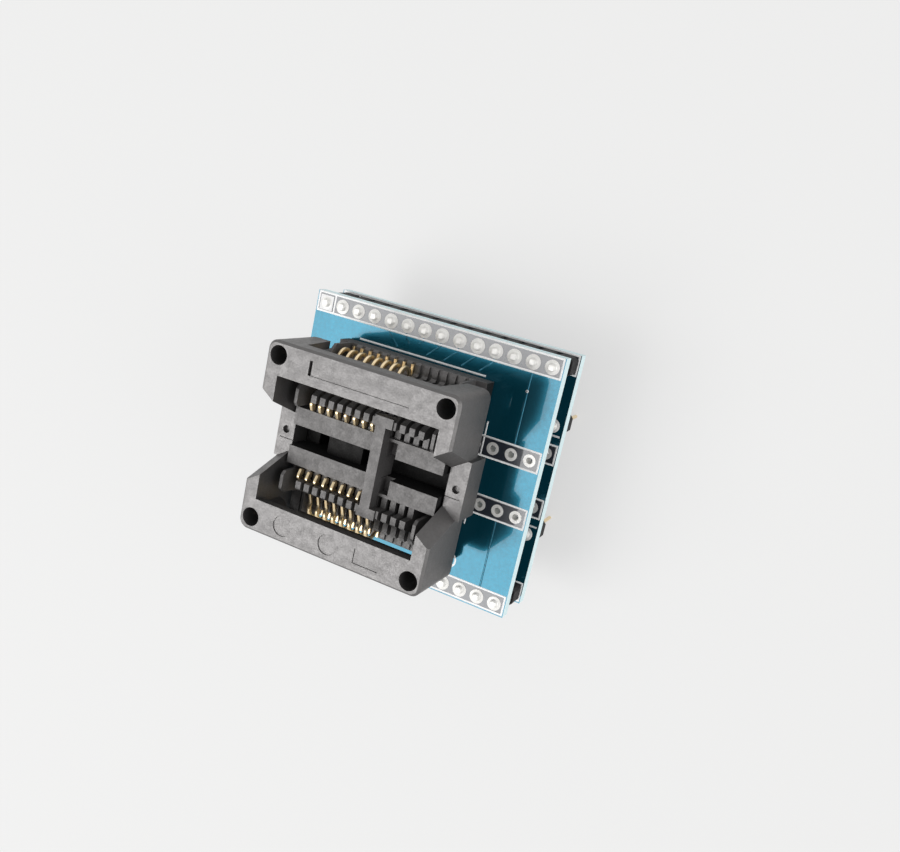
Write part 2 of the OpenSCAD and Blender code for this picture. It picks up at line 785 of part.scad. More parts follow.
module contact_springs(front) {
  color(gold_color) on_board() mirror([0, front ? 1 : 0, 0]) for (i = [0:contacts_fitted - 1]) {
    translate([slot_offset(i), 0, 0]) in_yz(contact_t) spring_outline(tail_y(i));
  }
}

module contact_arms(front) {
  color(gold_color) on_board() mirror([0, front ? 1 : 0, 0]) for (i = [0:contacts_fitted - 1]) {
    translate([slot_offset(i), 0, 0]) in_yz(contact_t) arm_outline();
  }
}

module tail_solder(front) {
  color(solder_color) mirror([0, front ? 1 : 0, 0]) for (i = [0:contacts_fitted - 1]) {
    translate([socket_shift + slot_offset(i), tail_y(i), up_z]) mirror([0, 0, 1]) difference() {
      solder_cone(tail_solder_d, norm([tail_w, contact_t]) + solder_wet, solder_h);
      cube([contact_t, tail_w, 4 * solder_h], center = true);
    }
  }
}

module contact_springs_rear() { contact_springs(false); }
module contact_springs_front() { contact_springs(true); }
module contact_arms_rear() { contact_arms(false); }
module contact_arms_front() { contact_arms(true); }
module tail_solder_rear() { tail_solder(false); }
module tail_solder_front() { tail_solder(true); }

// Actuating cover
module rounded_block(half_l, half_w, r, h) {
  box_between([-half_l + r, -half_w, 0], [half_l - r, half_w, h]);
  box_between([-half_l, -half_w + r, 0], [half_l, half_w - r, h]);
  both_ends() both_sides() translate([half_l - r, half_w - r, 0]) cylinder(r = r, h = h);
}

// A block with rounded corners and a chamfer round its top
module softened_block(half_l, half_w, r, h, chamfer) {
  rounded_block(half_l, half_w, r, h - chamfer);
  translate([0, 0, h - chamfer]) {
    in_yz(2 * (half_l - r)) polygon([
      [-half_w, 0], [half_w, 0], [half_w - chamfer, chamfer], [-half_w + chamfer, chamfer]
    ]);
    in_xz(2 * (half_w - r)) polygon([
      [-half_l, 0], [half_l, 0], [half_l - chamfer, chamfer], [-half_l + chamfer, chamfer]
    ]);
    both_ends() both_sides() translate([half_l - r, half_w - r, 0])
      cylinder(r1 = r, r2 = r - chamfer, h = chamfer);
  }
}

module corner_places() {
  both_ends() both_sides() translate([boss_x, boss_y, 0]) children();
}

// Hollow under the bars, leaving the four corner bosses
module cover_hollow() {
  difference() {
    box_between([-cover_half_in, -cover_half_w + side_wall, cover_foot - cut],
      [cover_half_in, cover_half_w - side_wall, bar_z]);
    corner_places() translate([0, 0, boss_foot]) cylinder(r = boss_r, h = cover_h);
  }
}

module side_arch() {
  top = cover_half_l - leg_top;
  foot = cover_half_l - leg_foot;
  translate([0, cover_half_w, 0]) in_xz(4 * side_wall) polygon([
    [-foot, cover_foot - cut], [foot, cover_foot - cut], [foot, cover_foot],
    [top, cover_z - lip_h], [-top, cover_z - lip_h], [-foot, cover_foot]
  ]);
}

// Notch in an end wall, wider at the top and towards the outside
module notch_half(side) {
  reach = 4 * cover_h;
  swing = atan2(notch_out - notch_in, end_wall);
  lean = atan2((notch_out - tongue_half_w) * cos(swing), notch_depth);
  mirror([0, side, 0]) translate([cover_half_l, notch_out, cover_z]) rotate([-lean, 0, swing])
    translate([-reach, -2 * reach, -reach]) cube(2 * reach);
}

module end_notch() {
  intersection() {
    box_between([cover_half_in - cut, -cover_half_w, notch_z],
      [tongue_out + cut, cover_half_w, cover_z + cut]);
    notch_half(0);
    notch_half(1);
  }
}

module end_tongue() {
  box_between([cover_half_in, -tongue_half_w, tongue_z], [tongue_out, tongue_half_w, notch_z]);
  in_xz(2 * hook_half_w) polygon([
    [cover_half_in + cut, tongue_z], [cover_half_in, tongue_z],
    [cover_half_in - hook_reach, tongue_z + hook_h / 2],
    [cover_half_in - hook_reach, tongue_z + hook_h], [cover_half_in + cut, tongue_z + hook_h]
  ]);
}

module press_ridge() {
  half_l = comb_half - rib_margin;
  box_between([-half_l, ridge_y, ridge_z], [half_l, ridge_y + ridge_t, bar_z + cut]);
}

// Bare marks in the top: a recess with a slot at the rear, round marks and a box at the front
module cover_marks() {
  bar_y = cover_half_w - bar_w / 2;
  top = cover_z + cut;
  shallow = cover_z - mark_depth;
  plate_x0 = -plate_l / 2;
  box_x0 = comb_half - box_l - box_end;
  box_between([plate_x0, bar_y - plate_w / 2, shallow], [plate_x0 + plate_l, bar_y + plate_w / 2, top]);
  box_between([plate_x0, bar_y - plate_w / 2, cover_z - bar_t / 2],
    [plate_x0 + plate_slot, bar_y + plate_w / 2, top]);
  for (x = [-round_mark_step, 0]) {
    translate([x, -bar_y, shallow]) cylinder(d = round_mark_d, h = top - shallow);
  }
  box_between([box_x0, -bar_y - box_w / 2, shallow], [box_x0 + box_l, -bar_y + box_w / 2, top]);
  both_ends() {
    translate([(cover_half_in + tongue_out) / 2, 0, notch_z - pin_mark_depth])
      cylinder(d = pin_mark_d, h = pin_mark_depth + cut);
    box_between([cover_half_in - cut, -seam_y - seam_w / 2, notch_z - mark_depth],
      [cover_half_l, -seam_y + seam_w / 2, notch_z + cut]);
  }
}

module actuating_cover() {
  color(socket_color) on_board() difference() {
    union() {
      difference() {
        translate([0, 0, cover_foot])
          softened_block(cover_half_l, cover_half_w, cover_r, cover_h, cover_chamfer);
        box_between([-cover_half_in, -bar_in, cover_foot - cut], [cover_half_in, bar_in, cover_z + cut]);
        cover_hollow();
        both_sides() side_arch();
        both_ends() end_notch();
      }
      both_ends() end_tongue();
      both_sides() press_ridge();
    }
    corner_places() translate([0, 0, boss_foot - cut]) cylinder(d = corner_hole_d, h = cover_h);
    cover_marks();
  }
}

upper_board();
lower_board();
upper_open_pads();
lower_open_pads();
link_strip_rear();
link_strip_front();
link_pins_rear();
link_pins_front();
upper_solder_rear();
upper_solder_front();
lower_solder_rear();
lower_solder_front();
plug_strip_rear();
plug_strip_front();
plug_pins_rear();
plug_pins_front();
plug_solder_rear();
plug_solder_front();
tail_solder_rear();
tail_solder_front();
socket_base();
chip_stop();
contact_springs_rear();
contact_springs_front();
contact_arms_rear();
contact_arms_front();
actuating_cover();
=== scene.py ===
"""Finishes a stacked-board programming adapter for small-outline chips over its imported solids."""
import math

import bmesh
import bpy
from bpy.props import FloatProperty, FloatVectorProperty, IntProperty, PointerProperty
from mathutils import Euler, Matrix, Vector


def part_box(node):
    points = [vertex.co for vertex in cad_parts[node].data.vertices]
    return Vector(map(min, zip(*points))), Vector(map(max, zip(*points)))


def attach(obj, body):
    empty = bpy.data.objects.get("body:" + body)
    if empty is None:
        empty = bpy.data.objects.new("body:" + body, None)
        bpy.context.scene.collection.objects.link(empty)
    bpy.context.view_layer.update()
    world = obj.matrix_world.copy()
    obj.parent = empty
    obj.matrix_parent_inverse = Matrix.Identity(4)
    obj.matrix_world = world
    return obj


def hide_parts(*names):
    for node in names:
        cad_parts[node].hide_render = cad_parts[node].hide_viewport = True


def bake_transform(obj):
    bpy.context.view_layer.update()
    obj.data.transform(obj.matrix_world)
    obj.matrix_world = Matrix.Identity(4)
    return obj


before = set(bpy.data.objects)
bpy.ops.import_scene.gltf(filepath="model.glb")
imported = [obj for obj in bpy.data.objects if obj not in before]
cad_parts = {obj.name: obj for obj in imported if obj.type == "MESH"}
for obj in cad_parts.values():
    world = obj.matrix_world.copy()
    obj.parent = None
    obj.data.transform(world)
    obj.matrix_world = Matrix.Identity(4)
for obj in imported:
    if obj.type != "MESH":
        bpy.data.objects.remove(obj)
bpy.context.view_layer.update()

bl_info = {
    "name": "Chip Programming Adapter",
    "version": (1, 0, 0),
    "blender": (4, 5, 0),
    "location": "3D View > Sidebar > Adapter",
    "description": "Finishes the boards, pins, contacts and socket of a chip programming adapter",
    "category": "Object",
}

MM = 0.001


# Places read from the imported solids

def middle(node):
    low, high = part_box(node)
    return (low + high) / 2


PIN_LOW, PIN_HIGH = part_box("link_pins_rear")
ARM_LOW, ARM_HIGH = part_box("contact_arms_rear")
SPRING_LOW, SPRING_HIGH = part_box("contact_springs_rear")
SOCKET_LOW, SOCKET_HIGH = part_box("socket_base")
LOWER_LOW, LOWER_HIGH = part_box("lower_board")
PADS_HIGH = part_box("upper_open_pads")[1]
SOCKET = middle("socket_base")
BOARD_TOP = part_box("upper_board")[1].z
LOWER_TOP = LOWER_HIGH.z

ENDS = (("rear", 1), ("front", -1))
ROW_PINS = 14
CONTACTS = 8
PIN_WIDTH = PIN_HIGH.y - PIN_LOW.y
PITCH = (PIN_HIGH.x - PIN_LOW.x - PIN_WIDTH) / (ROW_PINS - 1)
FIRST_PIN = PIN_LOW.x + PIN_WIDTH / 2
LAST_PIN = PIN_HIGH.x - PIN_WIDTH / 2
LINK_Y = middle("link_pins_rear").y
PLUG_Y = middle("plug_pins_rear").y
PAD_RADIUS = PADS_HIGH.x - LAST_PIN
OPEN_Y = PADS_HIGH.y - PAD_RADIUS

# Pins of the rear row whose traces show, counted from nought
TRACED_PINS = range(4, 11)

# Places along the free end of the board, in pitches: from the last pin to its trace, and on to the ring
TRACE_PITCHES = 0.95
RING_PITCHES = 2
FREE_TRACE = LAST_PIN - TRACE_PITCHES * PITCH


# Sizes and colours that a user would change

def number(name, value, description, **settings):
    return FloatProperty(name=name, description=description, default=value, **settings)


def length(name, value, description):
    return number(name, value * MM, description, unit="LENGTH", precision=5)


def share(name, value, description):
    return number(name, value, description, subtype="FACTOR", min=0, max=1)


def colour(name, value, description):
    return FloatVectorProperty(name=name, description=description, default=value, subtype="COLOR",
                               size=3, min=0, max=1)


def position(name, value, description):
    return FloatVectorProperty(name=name, description=description, default=value, subtype="TRANSLATION",
                               size=3)


class AdapterBoards(bpy.types.PropertyGroup):
    """Solder mask, traces and print of the two boards"""

    mask: colour("Mask", (0.004, 0.068, 0.103), "Solder mask over copper")
    trace: colour("Trace", (0.012, 0.11, 0.165), "Solder mask over a copper trace")
    bare: colour("Bare mask", (0.028, 0.033, 0.045), "Solder mask where there is no copper below it")
    edge: colour("Board edge", (0.68, 0.88, 0.92), "Cut edge of the glass-fibre board")
    # Painted light: the mask's emission of its own colour lifts it in the shade; it is no lamp
    mask_painted_glow: share("Mask painted glow", 0.18, "Share of the mask's colour that it scatters back in the shade")
    # Painted light: the cut edge glows with a share of its own colour, as if lit; it is no lamp
    edge_painted_glow: share("Edge painted glow", 0.3, "Share of the edge's colour that it gives as light from the glass")
    print_colour: colour("Print", (0.95, 0.96, 0.96), "Printed lines")
    print_width: length("Print width", 0.26, "Width of the printed lines")
    print_height: length("Print height", 0.02, "Thickness of the printed lines")
    trace_width: length("Trace width", 0.25, "Width of a copper trace under the mask")
    trace_height: length("Trace height", 0.002, "How far a trace lifts the mask")
    trace_start: length("Trace start", 1.4, "From a row of pads to where its traces turn or end")
    trace_stop: length("Trace stop", 1.0, "Least distance from the contacts to the end of a trace")
    frame_gap: length("Row frame", 1.27, "From a row of pads to the printed line beside it")
    frame_shift: length("Frame shift", 0.07, "How far the print of the outer rows lies off its pads")
    frame_end: length("Row frame end", 1.3, "From the last pad of a row to the printed line past it")
    outline_x: length("Socket outline end", 0.03, "From the printed outline to the base's end")
    outline_y: length("Socket outline side", 0.3, "From the base's side to the printed outline")
    outline_corner: length("Socket outline corner", 1.68, "How far the long lines stop short of the corners")
    outline_end: length("Socket outline end line", 7.0, "Half the length of the outline's end lines")
    ring_radius: length("Ring", 0.95, "Radius of the printed ring beside the socket")
    dot_radius: length("Dot", 0.08, "Radius of the printed dot on the trace at the free end")


class AdapterMetals(bpy.types.PropertyGroup):
    """Solder, tinned copper and gold plating"""

    solder: colour("Solder", (0.9, 0.89, 0.86), "Bright solder and tinned copper")
    gold: colour("Gold", (1.0, 0.78, 0.5), "Gold plating of the contacts and pins")
    joint_radius: length("Joint radius", 1.0, "Radius of a solder joint on its pad")
    joint_height: length("Joint height", 0.5, "Height of a solder joint over its board")
    pad_height: length("Pad height", 0.08, "Thickness of the square pad of the first pin")
    joint_spread: share("Joint spread", 0.05, "How much the solder joints differ in size")
    seed: IntProperty(name="Seed", default=7, min=0, description="Draw of the differences between joints")


class AdapterContacts(bpy.types.PropertyGroup):
    """Stamped contact, measured from the middle of the socket and the top of the upper board"""

    thickness: length("Thickness", 0.38, "Thickness of the stamped sheet")
    edge: length("Edge", 0.07, "Rounding of the stamped edges")
    loop_y: length("Loop place", 10.0, "Distance of the spring loop from the middle of the socket")
    loop_z: length("Loop height", 5.1, "Height of the spring loop's middle over the board")
    loop_radius: length("Loop radius", 1.8, "Outer radius of the spring loop")
    loop_width: length("Loop width", 0.5, "Width of the metal in the loop")
    bar_height: length("Bar height", 0.55, "Height of the bar that the contact stands on")
    bar_end: length("Bar end", 0.06, "How far the bar reaches past the loop")
    arm_width: length("Arm width", 0.75, "Width of the arm at its knee")
    knee_y: length("Knee place", 7.2, "Distance of the arm's knee from the middle of the socket")
    knee_z: length("Knee height", 7.275, "Height of the arm's knee over the board")
    head_y: length("Head place", 3.85, "Distance of the contact's tip from the middle of the socket")
    head_z: length("Head height", 9.85, "Height of the contact's tip over the board")
    head_length: length("Head length", 1.4, "Length of the head across the row")
    head_rise: length("Head rise", 1.1, "Height of the head")
    tip_corner: length("Tip corner", 0.2, "Bevel under the tip")
    tip_flat: length("Tip flat", 0.7, "From the tip to the end of the flat under the head")
    heel: length("Heel", 0.9, "From the tip to the heel of the head")
    heel_rise: length("Heel rise", 0.3, "Height of the heel over the flat")
    nose_drop: length("Nose drop", 0.35, "How much lower the nose is than the top of the head")
    nose_radius: length("Nose radius", 0.25, "Rounding of the nose")
    dome_radius: length("Dome radius", 0.45, "Rounding of the top of the head")
    tail_width: length("Tail width", 0.4, "Width of the tail in the board")
    tail_stagger: length("Tail stagger", 1.8, "Offset of every other tail")


class AdapterSocket(bpy.types.PropertyGroup):
    """Moulded socket and pin strips"""

    plastic: colour("Plastic", (0.03, 0.029, 0.029), "Glass-filled plastic of the socket")
    # Painted shade: this darker colour is not a plastic of its own but the deep shade down in the channel,
    # painted onto the base
    channel: colour("Channel painted shade", (0.006, 0.006, 0.006), "Plastic down in the channel between the rails")
    strip: colour("Strip plastic", (0.018, 0.018, 0.019), "Plastic of the pin strips")
    cover_edge: length("Cover edge", 0.14, "Rounding of the cover's edges")
    base_edge: length("Base edge", 0.05, "Rounding of the base's edges")
    strip_edge: length("Strip edge", 0.08, "Rounding of the pin strips' edges")
    channel_width: length("Channel width", 2.8, "Width of the channel between the rails")
    rail_height: length("Rail height", 10.1, "Height of the rails over the board")


class AdapterStage(bpy.types.PropertyGroup):
    """Camera, floor and light"""

    camera_place: position("Camera", (0.0491, 0.03245, 0.12165), "Place of the camera")
    camera_turn: FloatVectorProperty(name="Camera turn", description="Turn of the camera", size=3,
                                     default=[math.radians(a) for a in (-8.057, 25.096, 13.581)],
                                     subtype="EULER")
    lens: number("Lens", 36.39, "Focal length", unit="CAMERA")
    floor: colour("Floor", (0.24, 0.24, 0.237), "Pale floor")
    floor_glow: share("Floor glow", 0.575, "White that the camera sees over the floor's own light")
    floor_size: number("Floor size", 3.0, "Side of the floor", unit="LENGTH")
    key: number("Key light", 2.35, "Power of the soft key light", unit="POWER")
    key_size: number("Key size", 0.38, "Side of the key light", unit="LENGTH")
    key_place: position("Key place", (-0.24, -0.175, 0.52), "Place of the key light")
    fill: number("Fill light", 1.1, "Power of the soft light past the free end", unit="POWER")
    fill_size: number("Fill size", 0.4, "Side of the fill light", unit="LENGTH")
    fill_place: position("Fill place", (0.5, 0.05, 0.2), "Place of the fill light")
    sky: number("Sky", 0.8, "Strength of the soft light from overhead", min=0)
    horizon: share("Horizon", 0.15, "Share of the sky's light that is left at the horizon")
    ceiling: share("Ceiling", 0.4, "White of the backdrop overhead, as gloss shows it")


GROUPS = (("adapter_boards", AdapterBoards), ("adapter_metals", AdapterMetals),
          ("adapter_contacts", AdapterContacts), ("adapter_socket", AdapterSocket),
          ("adapter_stage", AdapterStage))


# Node trees

def add_node(tree, kind, inputs=None, **settings):
    """A node with its settings, and with each input linked to a socket or set to a value"""
    node = tree.nodes.new(kind)
    for key, value in settings.items():
        setattr(node, key, value)
    for key, value in (inputs or {}).items():
        if isinstance(value, bpy.types.NodeSocket):
            tree.links.new(value, node.inputs[key])
        else:
            node.inputs[key].default_value = value
    return node


def new_tree(name, kind, inputs, outputs):
    """A node group with named sockets, and its input and output nodes"""
    tree = bpy.data.node_groups.new(name, kind)
    for in_out, sockets in (("INPUT", inputs), ("OUTPUT", outputs)):
        for socket_name, socket_type in sockets:
            tree.interface.new_socket(name=socket_name, in_out=in_out, socket_type=socket_type)
    return tree, tree.nodes.new("NodeGroupInput").outputs, tree.nodes.new("NodeGroupOutput").inputs


def row_tree():
    """Copies of one shape along a straight row, each with a small turn and size of its own"""
    tree, given, result = new_tree(
        "adapter_row", "GeometryNodeTree",
        [("Geometry", "NodeSocketGeometry"), ("Count", "NodeSocketInt"), ("Start", "NodeSocketVector"),
         ("Step", "NodeSocketVector"), ("Turn", "NodeSocketFloat"), ("Spread", "NodeSocketFloat"),
         ("Seed", "NodeSocketInt"), ("Material", "NodeSocketMaterial")],
        [("Geometry", "NodeSocketGeometry")])
    line = add_node(tree, "GeometryNodeMeshLine",
                    {"Count": given["Count"], "Start Location": given["Start"], "Offset": given["Step"]})
    turn = add_node(tree, "FunctionNodeRandomValue", {2: 0.0, 3: given["Turn"], "Seed": given["Seed"]})
    about_z = add_node(tree, "ShaderNodeCombineXYZ", {"Z": turn.outputs[1]})
    least = add_node(tree, "ShaderNodeMath", {0: 1.0, 1: given["Spread"]}, operation="SUBTRACT")
    size = add_node(tree, "FunctionNodeRandomValue", {2: least.outputs[0], 3: 1.0, "Seed": given["Seed"]})
    copies = add_node(tree, "GeometryNodeInstanceOnPoints",
                      {"Points": line.outputs["Mesh"], "Instance": given["Geometry"],
                       "Rotation": about_z.outputs["Vector"], "Scale": size.outputs[1]})
    solid = add_node(tree, "GeometryNodeRealizeInstances", {"Geometry": copies.outputs["Instances"]})
    finish = add_node(tree, "GeometryNodeSetMaterial",
                      {"Geometry": solid.outputs["Geometry"], "Material": given["Material"]})
    tree.links.new(finish.outputs["Geometry"], result["Geometry"])
    return tree


def line_tree():
    """Flat raised lines along the edges of a mesh that lies level"""
    tree, given, result = new_tree(
        "adapter_lines", "GeometryNodeTree",
        [("Geometry", "NodeSocketGeometry"), ("Width", "NodeSocketFloat"), ("Height", "NodeSocketFloat"),
         ("Corner", "NodeSocketFloat"), ("Material", "NodeSocketMaterial")],
        [("Geometry", "NodeSocketGeometry")])
    curve = add_node(tree, "GeometryNodeMeshToCurve", {"Mesh": given["Geometry"]})
    level = add_node(tree, "GeometryNodeSetCurveNormal", {"Curve": curve.outputs["Curve"]}, mode="Z_UP")
    section = add_node(tree, "GeometryNodeCurvePrimitiveQuadrilateral",
                       {"Width": given["Width"], "Height": given["Height"]})
    strip = add_node(tree, "GeometryNodeCurveToMesh",
                     {"Curve": level.outputs["Curve"], "Profile Curve": section.outputs["Curve"],
                      "Scale": given["Corner"], "Fill Caps": True})
    solid = add_node(tree, "GeometryNodeRealizeInstances", {"Geometry": strip.outputs["Mesh"]})
    finish = add_node(tree, "GeometryNodeSetMaterial",
                      {"Geometry": solid.outputs["Geometry"], "Material": given["Material"]})
    tree.links.new(finish.outputs["Geometry"], result["Geometry"])
    return tree


def grow(obj, tree, values):
    """Runs a geometry tree on an object and keeps its result as a plain mesh"""
    modifier = obj.modifiers.new(tree.name, "NODES")
    modifier.node_group = tree
    for socket in tree.interface.items_tree:
        if socket.name in values:
            modifier[socket.identifier] = values[socket.name]
    return plain(obj)


# Meshes, with angles in degrees

MERGE_DISTANCE = 0.0005 * MM
FLAT_ANGLE = 0.5
BEVEL_ANGLE = 40
BEVEL_SEGMENTS = 2
MOULDING_SHARP = 30
CONTACT_SHARP = 35
JOINT_SHARP = 50

# Parts of a unit normal that tell a level face, and a face that looks down
LEVEL_NORMAL = 0.7
UNDERSIDE_NORMAL = -0.5

# Solder joint from its rim to its top, in shares of its radius and height
JOINT_PROFILE = ((1.0, 0.0), (1.0, 0.08), (0.95, 0.14), (0.68, 0.2), (0.57, 0.34), (0.52, 0.6), (0.48, 0.85),
                 (0.42, 0.96), (0.3, 1.0), (0.0, 1.0))
JOINT_SIDES = 24
RING_SIDES = 24
DOT_SIDES = 6

# Wider section that keeps the width of a printed line round a square corner
SQUARE_CORNER = math.sqrt(2)

# Turn of a contact's knee and ends of its arcs, from outwards to upwards, and the arcs' steps
KNEE_TURN = 54
LOOP_OUTER_END = -70
LOOP_INNER_END = -100
LOOP_ARM = 115
LOOP_STEPS = 24
DOME_BACK = 45
NOSE_FRONT = 180
HEAD_STEPS = 6


def new_piece(name, mesh):
    obj = bpy.data.objects.new(name, mesh)
    bpy.context.scene.collection.objects.link(obj)
    return obj


def plain(obj):
    """Turns an object with modifiers into its evaluated mesh"""
    depsgraph = bpy.context.evaluated_depsgraph_get()
    mesh = bpy.data.meshes.new_from_object(obj.evaluated_get(depsgraph))
    old = obj.data
    obj.modifiers.clear()
    obj.data = mesh
    mesh.name = obj.name
    bpy.data.meshes.remove(old)
    return obj


def mesh_from(bm, name):
    mesh = bpy.data.meshes.new(name)
    bm.to_mesh(mesh)
    bm.free()
    return mesh


def smooth(mesh, angle):
    """Smooth shading with the edges over an angle kept sharp"""
    for polygon in mesh.polygons:
        polygon.use_smooth = True
    mesh.set_sharp_from_angle(angle=math.radians(angle))


def merged_copy(node):
    """A node's mesh with its loose triangles merged and its flat faces joined"""
    bm = bmesh.new()
    bm.from_mesh(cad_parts[node].data)
    bmesh.ops.remove_doubles(bm, verts=bm.verts, dist=MERGE_DISTANCE)
    bmesh.ops.dissolve_limit(bm, angle_limit=math.radians(FLAT_ANGLE), verts=bm.verts, edges=bm.edges)
    mesh = mesh_from(bm, node)
    normals = mesh.attributes.get("custom_normal")
    if normals:
        mesh.attributes.remove(normals)
    mesh.materials.clear()
    return mesh


def rounded_copy(node, width, material):
    """A copy of a node with its edges rounded, which stands for the node"""
    obj = new_piece(node + "_finish", merged_copy(node))
    obj.data.materials.append(material)
    smooth(obj.data, MOULDING_SHARP)
    edge = obj.modifiers.new("edge", "BEVEL")
    edge.width = width
    edge.segments = BEVEL_SEGMENTS
    edge.limit_method = "ANGLE"
    edge.angle_limit = math.radians(BEVEL_ANGLE)
    edge.harden_normals = True
    return plain(obj)


def joined(name, pieces):
    """One object from several that have plain meshes"""
    bm = bmesh.new()
    for piece in pieces:
        bm.from_mesh(piece.data)
    mesh = mesh_from(bm, name)
    for material in pieces[0].data.materials:
        mesh.materials.append(material)
    for piece in pieces:
        bpy.data.objects.remove(piece)
    return new_piece(name, mesh)


def turned(profile, segments):
    """A solid of revolution about Z from radius and height pairs"""
    bm = bmesh.new()
    rings = []
    for radius, height in profile:
        if radius == 0:
            rings.append([bm.verts.new((0, 0, height))])
            continue
        angles = [2 * math.pi * k / segments for k in range(segments)]
        rings.append([bm.verts.new((radius * math.cos(a), radius * math.sin(a), height)) for a in angles])
    for low, high in zip(rings, rings[1:]):
        for k in range(segments):
            corners = [low[k % len(low)], low[(k + 1) % len(low)],
                       high[(k + 1) % len(high)], high[k % len(high)]]
            bm.faces.new(list(dict.fromkeys(corners)))
    bmesh.ops.recalc_face_normals(bm, faces=bm.faces)
    return bm


def extruded(outline, thickness, edge):
    """A flat outline in Y and Z, given thickness along X and rounded edges"""
    bm = bmesh.new()
    half = thickness / 2
    sides = [[bm.verts.new((x, y, z)) for y, z in outline] for x in (-half, half)]
    caps = [bm.faces.new(sides[0]), bm.faces.new(list(reversed(sides[1])))]
    count = len(outline)
    for k in range(count):
        following = (k + 1) % count
        bm.faces.new([sides[0][following], sides[0][k], sides[1][k], sides[1][following]])
    rims = [rim for cap in caps for rim in cap.edges]
    bmesh.ops.recalc_face_normals(bm, faces=bm.faces)
    bmesh.ops.bevel(bm, geom=rims, offset=edge, segments=BEVEL_SEGMENTS, profile=0.5, affect="EDGES",
                    clamp_overlap=True)
    return bm


def arc(centre, radius, first, last, steps):
    angles = [math.radians(first + (last - first) * k / steps) for k in range(steps + 1)]
    return [(centre[0] + radius * math.cos(a), centre[1] + radius * math.sin(a)) for a in angles]


def circle(centre, radius, sides):
    return arc(centre, radius, 0, 360 - 360 / sides, sides - 1)


def paths_mesh(name, paths, height, closed):
    """Edges along level paths, as the ground for raised lines"""
    bm = bmesh.new()
    for path in paths:
        corners = [bm.verts.new((x, y, height)) for x, y in path]
        pairs = list(zip(corners, corners[1:]))
        if closed:
            pairs.append((corners[-1], corners[0]))
        for pair in pairs:
            bm.edges.new(pair)
    return mesh_from(bm, name)


def rectangle(low_x, high_x, low_y, high_y):
    return [(low_x, low_y), (high_x, low_y), (high_x, high_y), (low_x, high_y)]


def row_frames(look):
    """Rectangles round the rows of pads, from the rear row to the front"""
    low, high = FIRST_PIN - look.frame_end, LAST_PIN + look.frame_end
    return [rectangle(low, high, row - look.frame_gap, row + look.frame_gap)
            for row in (LINK_Y + look.frame_shift, OPEN_Y, -OPEN_Y, look.frame_shift - LINK_Y)]


def split_faces(mesh, axis, places):
    """Cuts the faces of a mesh along planes across one axis"""
    bm = bmesh.new()
    bm.from_mesh(mesh)
    normal = Vector([float(k == axis) for k in range(3)])
    for place in places:
        bmesh.ops.bisect_plane(bm, geom=[*bm.verts, *bm.edges, *bm.faces],
                               plane_co=place * normal, plane_no=normal)
    bm.to_mesh(mesh)
    bm.free()


def settle(piece, body, slot, *nodes):
    """Rides a finished piece on its body and hides the nodes that it stands for"""
    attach(piece, body)
    if nodes:
        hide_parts(*nodes)
    return piece


# Materials

def grain_group():
    """Mottled tone and relief of a moulded, etched or wetted surface, in object space"""
    found = bpy.data.node_groups.get("adapter_grain")
    if found:
        return found
    tree, given, result = new_tree(
        "adapter_grain", "ShaderNodeTree",
        [("Grains", "NodeSocketFloat"), ("Patches", "NodeSocketFloat"), ("Sharpness", "NodeSocketFloat")],
        [("Tone", "NodeSocketFloat"), ("Relief", "NodeSocketFloat")])
    broad_share, mid_tone = 0.4, 0.5
    place = add_node(tree, "ShaderNodeTexCoord").outputs["Object"]
    fine = add_node(tree, "ShaderNodeTexNoise",
                    {"Vector": place, "Scale": given["Grains"], "Detail": 3.0, "Roughness": 0.6})
    broad = add_node(tree, "ShaderNodeTexNoise",
                     {"Vector": place, "Scale": given["Patches"], "Detail": 2.0, "Roughness": 0.5})
    both = add_node(tree, "ShaderNodeMix", {0: broad_share, 2: fine.outputs["Fac"], 3: broad.outputs["Fac"]})
    low = add_node(tree, "ShaderNodeMath", {0: mid_tone, 1: given["Sharpness"]}, operation="SUBTRACT")
    high = add_node(tree, "ShaderNodeMath", {0: mid_tone, 1: given["Sharpness"]}, operation="ADD")
    tone = add_node(tree, "ShaderNodeMapRange",
                    {"Value": both.outputs[0], "From Min": low.outputs[0], "From Max": high.outputs[0]})
    tree.links.new(tone.outputs["Result"], result["Tone"])
    tree.links.new(fine.outputs["Fac"], result["Relief"])
    return tree


def new_material(name):
    material = bpy.data.materials.new(name)
    material.use_nodes = True
    return material, material.node_tree, material.node_tree.nodes["Principled BSDF"]


def grain(tree, grains, patches, sharpness):
    node = add_node(tree, "ShaderNodeGroup",
                    {"Grains": grains, "Patches": patches, "Sharpness": sharpness}, node_tree=grain_group())
    return node.outputs["Tone"], node.outputs["Relief"]


def shade(value, factor):
    return (*(min(1.0, c * factor) for c in value), 1.0)


def spread_value(tree, factor, low, high):
    node = add_node(tree, "ShaderNodeMapRange", {"Value": factor, "To Min": low, "To Max": high})
    return node.outputs["Result"]


def mottle(tree, shader, tone, value, dark, light):
    """Base colour that runs with the tone from a darker to a lighter shade, by numbered colour sockets"""
    mixed = add_node(tree, "ShaderNodeMix", {0: tone, 6: shade(value, dark), 7: shade(value, light)},
                     data_type="RGBA")
    tree.links.new(mixed.outputs[2], shader.inputs["Base Color"])


def roughen(tree, shader, tone, dark, light):
    """Roughness that runs with the tone"""
    tree.links.new(spread_value(tree, tone, dark, light), shader.inputs["Roughness"])


def relief(tree, shader, height, depth, strength):
    bump = add_node(tree, "ShaderNodeBump", {"Height": height, "Strength": strength, "Distance": depth})
    tree.links.new(bump.outputs["Normal"], shader.inputs["Normal"])


# Painted light: an emission in the surface's own colour that makes it glow though it is no lamp
def paint_glow(shader, value, strength):
    shader.inputs["Emission Color"].default_value = shade(value, 1.0)
    shader.inputs["Emission Strength"].default_value = strength


